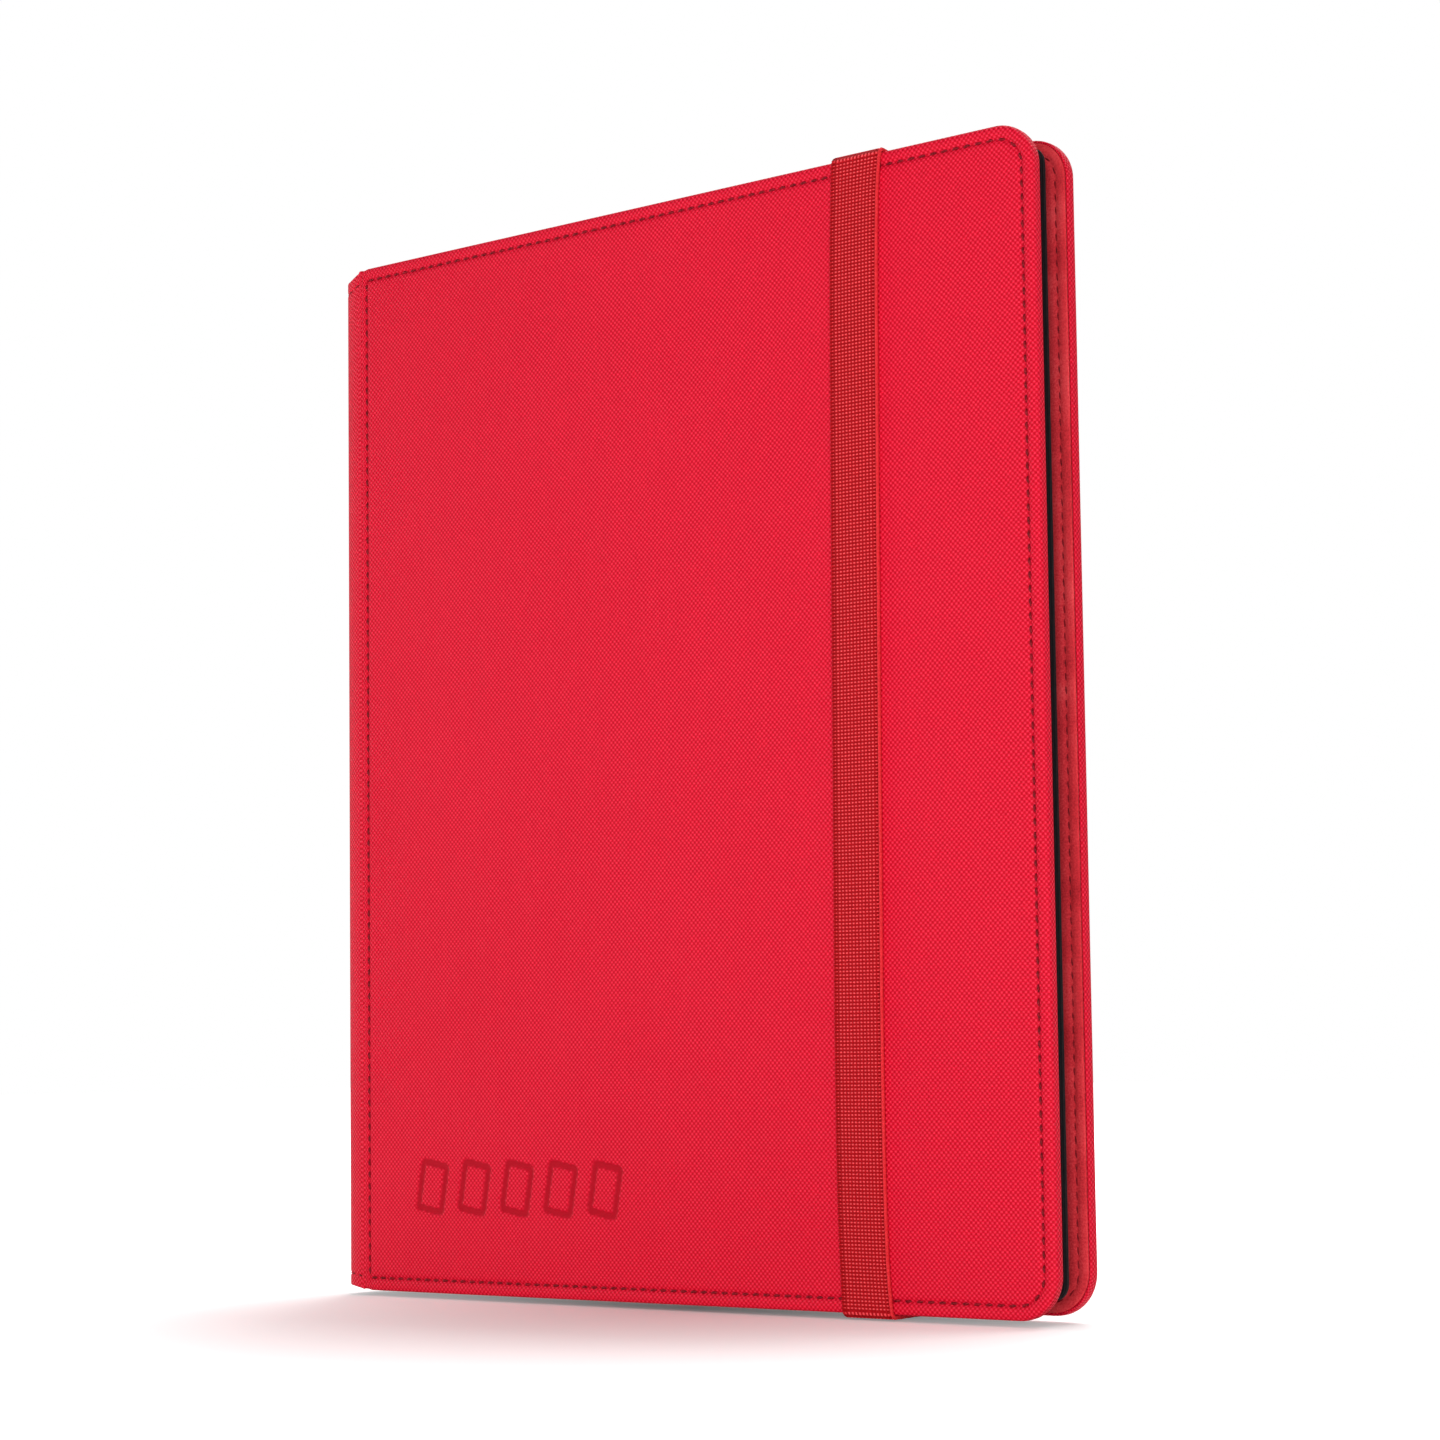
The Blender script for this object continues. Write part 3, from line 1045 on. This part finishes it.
class BINDER_OT_strap(BuildOperator, bpy.types.Operator):
    """Builds the elastic strap as one woven strip that bends over both edges and swings behind the back
    cover."""
    bl_idname = "binder.strap"
    bl_label = "Elastic strap"

    def execute(self, context):
        _, strap, _ = settings()
        thickness = float(STRAP_HI[1] - STRAP_LO[1])
        centre = float(STRAP_HI[0] + STRAP_LO[0]) / 2
        path, out = strap_path()
        section = strap_section(STRAP_W, thickness, strap.edge_cord)
        run = np.concatenate([[0], np.cumsum(np.hypot(*np.diff(path, axis=0).T))])
        phase = 2 * math.pi * run / strap.row_pitch
        left_edge = np.exp(-((section[:, 0] + STRAP_W / 2) / (0.45 * MM)) ** 2)
        picot = np.where((np.arange(len(run)) % 2) == 0, 1.0, -1.0) * 0.16 * MM
        across = section[None, :, 0] + picot[:, None] * left_edge[None, :]
        from_bend = np.minimum(np.abs(run - run[0]), np.abs(run[-1] - run)) - (TOP_RUN_HI[1] - STRAP_HI[1])
        flare = 1 + 0.035 * np.exp(-(from_bend / (7 * MM)) ** 2)
        across = across * flare[:, None]
        ribs = 0.05 * MM * np.cos(phase)[:, None] * (section[None, :, 1] > thickness * 0.9)
        depth = section[None, :, 1] + ribs
        # the strap leans a little towards the fore-edge as it rises, and more where it turns over the edges
        height = np.clip(path[:, 1] - STRAP_LO[2], 0, None)
        above = np.clip(STRAP_HI[2] - path[:, 1], 0, None)
        near_top, near_low = np.exp(-above / (15 * MM)), np.exp(-height / (28 * MM))
        lean = (-2.7 + 3.76 * height / (350 * MM) + 1.5 * near_top + 2.7 * near_low) * MM
        on_face = np.clip((TOP_RUN_HI[1] - path[:, 0]) / (TOP_RUN_HI[1] - STRAP_HI[1]), 0, 1)
        x = centre + across + (lean * on_face)[:, None]
        y = path[:, 0, None] + out[:, 0, None] * depth
        z = path[:, 1, None] + out[:, 1, None] * depth
        points = np.stack([x, y, z], -1).reshape(-1, 3)
        u = np.broadcast_to(section[None, :, 0], x.shape)
        v = np.broadcast_to(run[:, None], x.shape)
        size = len(section)
        faces = grid_faces(len(path), size, close_columns=True).tolist()
        faces += [list(range(size)), list(range(size * (len(path) - 1), size * len(path)))[::-1]]
        piece = put_mesh("elastic_strap", points, faces, np.stack([u, v], -1).reshape(-1, 2))
        fix_normals(piece)
        piece.data.materials.append(material_named("woven_elastic_webbing", woven_elastic))
        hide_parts("strap_front_run", "strap_top_run", "strap_bottom_run")
        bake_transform(piece)
        return {"FINISHED"}


class BINDER_OT_leaves(BuildOperator, bpy.types.Operator):
    """Builds the pocket films of every leaf: three by three puffed pockets on each side with welded
    lines."""
    bl_idname = "binder.leaves"
    bl_label = "Pocket leaves"

    def execute(self, context):
        film = material_named("cast_polypropylene_film", clear_pocket_film)
        sheet = material_named("matt_polypropylene_sheet", black_leaf_sheet)
        for node in LEAVES:
            number = node[5:]
            low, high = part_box(node)
            points, faces, weld = self.films(low, high)
            piece = put_mesh(f"leaf_{number}_films", points, faces, marks={"weld": weld})
            finish_piece(piece, f"leaf_{number}", film, "pocket_film", f"pockets_{number}")
            paint(frame["nodes"][node], sheet)
        return {"FINISHED"}

    @staticmethod
    def films(low, high):
        """Film height over the sheet as a product of two soft steps: full inside a pocket, none on its
        welds. Each side is a thin closed shell."""
        _, _, leaves = settings()
        width, height = leaves.pocket_width, leaves.pocket_height
        x_starts = low[0] + 17.5 * MM + np.arange(3) * (width + 7.5 * MM)
        z_starts = low[2] + 13 * MM + np.arange(3) * (height + 10 * MM)
        rim = np.array([0.0, 0.6, 1.6, 4.0]) * MM
        def marks(starts, size, first, last):
            runs = [np.concatenate([s + rim, [s + size / 2], (s + size - rim)[::-1]]) for s in starts]
            return np.concatenate([[first], *runs, [last]])
        xs = marks(x_starts, width, low[0] + 14 * MM, high[0] - 2.5 * MM)
        zs = marks(z_starts, height, low[2] + 2.5 * MM, high[2] - 2.5 * MM)
        def puff(values, starts, size):
            total = np.zeros_like(values)
            for s in starts:
                t = np.clip(np.minimum(values - s, s + size - values) / (1.6 * MM), 0, 1)
                total = np.maximum(total, t)
            return total
        lift = np.outer(puff(xs, x_starts, width), puff(zs, z_starts, height))
        x, z = np.meshgrid(xs, zs, indexing="ij")
        mid = (low[1] + high[1]) / 2
        half = (high[1] - low[1]) / 2
        points, faces = [], []
        rows, columns = x.shape
        walk = border_walk(rows, columns)
        for side in (-1, 1):
            for raised in (True, False):
                base = half + (0.06 * MM + 0.09 * MM * lift if raised else 0.0)
                y = mid + side * (base + np.zeros_like(x))
                start = len(points) * rows * columns
                quads = grid_faces(rows, columns, start=start)
                faces += (quads if (side < 0) != raised else quads[:, ::-1]).tolist()
                points.append(np.stack([x, y, z], -1).reshape(-1, 3))
            border = walk[:, 0] * columns + walk[:, 1]
            upper = (len(points) - 2) * rows * columns + border
            lower = (len(points) - 1) * rows * columns + border
            band = np.stack([upper, np.roll(upper, -1), np.roll(lower, -1), lower], -1)
            faces += (band[:, ::-1] if side < 0 else band).tolist()
        return np.concatenate(points), faces, np.tile(1 - lift.ravel(), 4)


def paint(obj, material):
    """Gives a CAD node another material without touching its mesh."""
    if not obj.material_slots:
        obj.data.materials.append(material)
    for place in obj.material_slots:
        place.material = material


class BINDER_OT_inner_parts(BuildOperator, bpy.types.Operator):
    """Gives the foam, boards, stiffener, binding and sewn strap ends their materials."""
    bl_idname = "binder.inner_parts"
    bl_label = "Inner parts"

    def execute(self, context):
        nodes = frame["nodes"]
        # closed-cell foam: off-white with fine pores
        foam = speckled("closed_cell_eva_foam", "#D9D6CC", "#F2F0EA", 900.0, 0.85)
        # grey chipboard: pressed waste paper with darker flecks
        board = speckled("pressed_greyboard", "#6E6A63", "#8B877F", 350.0, 0.9)
        # polypropylene stiffener: plain dark sheet
        sheet = speckled("extruded_stiffener_sheet", "#3A3A3C", "#47474A", 200.0, 0.5)
        # woven binding tape: black with a fine rib
        tape = speckled("woven_binding_tape", "#101012", "#26262A", 1100.0, 0.8, 0.6)
        # welded vinyl block: black, slightly glossy
        block = speckled("welded_vinyl_block", "#121214", "#1E1E21", 300.0, 0.45)
        # elastic's sewn ends: the webbing's two reds, flattened by the stitching
        strap = speckled("sewn_elastic_end", "#9C0008", "#D2323A", 1500.0, 0.7)
        for node, material in (
                ("front_cover_foam", foam), ("back_cover_foam", foam), ("front_cover_board", board),
                ("back_cover_board", board), ("spine_stiffener", sheet), ("binding_web", tape),
                ("page_binding_block", block), ("strap_sewn_ends", strap)):
            paint(nodes[node], material)
        return {"FINISHED"}


def area_light(name, place, target, size, power, colour=(1.0, 1.0, 1.0)):
    """A rectangular soft light that looks at a point."""
    light = bpy.data.lights.new(name, "AREA")
    light.shape = "RECTANGLE"
    light.size, light.size_y = size
    light.energy = power
    light.color = colour
    obj = bpy.data.objects.new(name, light)
    direction = Vector(target) - Vector(place)
    obj.matrix_world = Matrix.Translation(place) @ direction.to_track_quat("-Z", "Y").to_matrix().to_4x4()
    bpy.context.scene.collection.objects.link(obj)
    return obj


class BINDER_OT_stage(BuildOperator, bpy.types.Operator):
    """Sets up the pale floor, the soft studio light and the camera."""
    bl_idname = "binder.stage"
    bl_label = "Floor, lights and camera"

    def execute(self, context):
        scene = context.scene
        scene.view_settings.view_transform = "Standard"
        floor = put_mesh("studio_floor", [(-6, -6, 0), (6, -6, 0), (6, 6, 0), (-6, 6, 0)], [(0, 1, 2, 3)],
                         smooth=False)
        floor.data.transform(Matrix.Translation((0, 0, -0.0005)))
        material, tree, shader = new_material("pale_floor_paper", Roughness=0.9)
        # matt paper sweep: it fades into the white surround away from the object
        place = add_node(tree, "ShaderNodeTexCoord")
        length = add_node(tree, "ShaderNodeVectorMath", links={0: place.outputs["Object"]},
                          operation="LENGTH")
        glow = add_node(tree, "ShaderNodeMapRange", {1: -0.1, 2: 0.5, 3: 0.0, 4: 1.0},
                        {0: length.outputs["Value"]},
                        interpolation_type="SMOOTHSTEP")
        shader.inputs["Base Color"].default_value = linear("#F4F4F4")
        shader.inputs["Emission Color"].default_value = (1.0, 1.0, 1.0, 1.0)
        # only the camera sees the glow, so that it doesn't light the covers from below
        seen = add_node(tree, "ShaderNodeLightPath")
        shown = add_node(tree, "ShaderNodeMath", links={0: glow.outputs[0], 1: seen.outputs["Is Camera Ray"]},
                         operation="MULTIPLY")
        tree.links.new(shown.outputs[0], shader.inputs["Emission Strength"])
        floor.data.materials.append(material)
        self.surround(scene)
        target = (0.0, 0.0, 0.17)
        area_light("key_front", (0.9, -1.7, 0.22), (0.0, 0.0, 0.07), (1.8, 0.5), 16)
        area_light("low_front", (0.4, -0.95, 0.04), (0.0, 0.0, 0.0), (1.0, 0.07), 3)
        area_light("fore_edge_side", (1.5, -0.5, 0.4), target, (0.8, 1.0), 1.5)
        area_light("spine_side", (-1.5, -0.25, 0.5), target, (0.6, 1.0), 5)
        area_light("overhead", (0.1, 0.95, 2.0), (0.1, 0.5, 0.0), (2.4, 1.2), 34)
        area_light("behind", (-0.6, 1.6, 0.9), target, (1.2, 1.0), 9)
        self.camera(scene)
        return {"FINISHED"}

    @staticmethod
    def surround(scene):
        """A white surround for the camera that lights the object only dimly, so that the cloth keeps its
        depth of colour and takes its shape from the lights."""
        world = bpy.data.worlds.new("studio")
        scene.world = world
        world.use_nodes = True
        tree = world.node_tree
        shown = tree.nodes["Background"]
        shown.inputs["Color"].default_value = (1.0, 1.0, 1.0, 1.0)
        dim = add_node(tree, "ShaderNodeBackground", {"Color": (1.0, 1.0, 1.0, 1.0), "Strength": 0.3})
        ray = add_node(tree, "ShaderNodeLightPath")
        mix = add_node(tree, "ShaderNodeMixShader", links={
            0: ray.outputs["Is Camera Ray"], 1: dim.outputs[0], 2: shown.outputs[0]})
        tree.links.new(mix.outputs[0], tree.nodes["World Output"].inputs["Surface"])

    @staticmethod
    def camera(scene):
        """A long lens, low and to the right of the front cover, pitched up a little, aimed from a point on
        the cover's face. The frame is shifted a little, as the view is."""
        azimuth, pitch, roll = math.radians(36.518), math.radians(4.475), math.radians(-0.78)
        distance, lens = 0.93097, 75.574
        aim = Vector((SEAM_X + 0.16644, FRONT_LO[1], FRONT_LO[2] + 0.14925))
        forward = Vector((-math.sin(azimuth) * math.cos(pitch), math.cos(azimuth) * math.cos(pitch),
                          math.sin(pitch)))
        right = Vector((math.cos(azimuth), math.sin(azimuth), 0))
        up = right.cross(forward)
        across = right * math.cos(roll) + up * math.sin(roll)
        above = up * math.cos(roll) - right * math.sin(roll)
        data = bpy.data.cameras.new("camera")
        data.lens = lens
        data.sensor_width = 36
        data.shift_x, data.shift_y = -0.0278, 0.0694
        data.clip_start, data.clip_end = 0.05, 50
        obj = bpy.data.objects.new("camera", data)
        place = aim - forward * distance
        matrix = Matrix((across, above, -forward)).transposed().to_4x4()
        obj.matrix_world = Matrix.Translation(place) @ matrix
        scene.collection.objects.link(obj)
        scene.camera = obj


class BINDER_PT_panel(bpy.types.Panel):
    """Lists the binder's building steps and its settings."""
    bl_idname = "BINDER_PT_panel"
    bl_label = "Card Binder"
    bl_space_type = "VIEW_3D"
    bl_region_type = "UI"
    bl_category = "Binder"

    def draw(self, context):
        layout = self.layout
        for operator in STEPS:
            layout.operator(operator.bl_idname)
        for group in settings():
            box = layout.box()
            for name in group.__annotations__:
                box.prop(group, name)


STEPS = (BINDER_OT_stage, BINDER_OT_front_cover, BINDER_OT_back_cover, BINDER_OT_spine, BINDER_OT_strap,
         BINDER_OT_leaves, BINDER_OT_inner_parts)
GROUPS = (BINDER_PG_cloth, BINDER_PG_strap, BINDER_PG_leaves)


def register():
    """Registers the classes and gives the scene its settings."""
    for cls in (*GROUPS, *STEPS, BINDER_PT_panel):
        bpy.utils.register_class(cls)
    bpy.types.Scene.binder_cloth = bpy.props.PointerProperty(type=BINDER_PG_cloth)
    bpy.types.Scene.binder_strap = bpy.props.PointerProperty(type=BINDER_PG_strap)
    bpy.types.Scene.binder_leaves = bpy.props.PointerProperty(type=BINDER_PG_leaves)


def unregister():
    """Takes the settings and the classes away again."""
    for name in ("binder_cloth", "binder_strap", "binder_leaves"):
        delattr(bpy.types.Scene, name)
    for cls in reversed((*GROUPS, *STEPS, BINDER_PT_panel)):
        bpy.utils.unregister_class(cls)


def main():
    register()
    for step in STEPS:
        group, name = step.bl_idname.split(".")
        getattr(getattr(bpy.ops, group), name)()


if __name__ == "__main__":
    main()
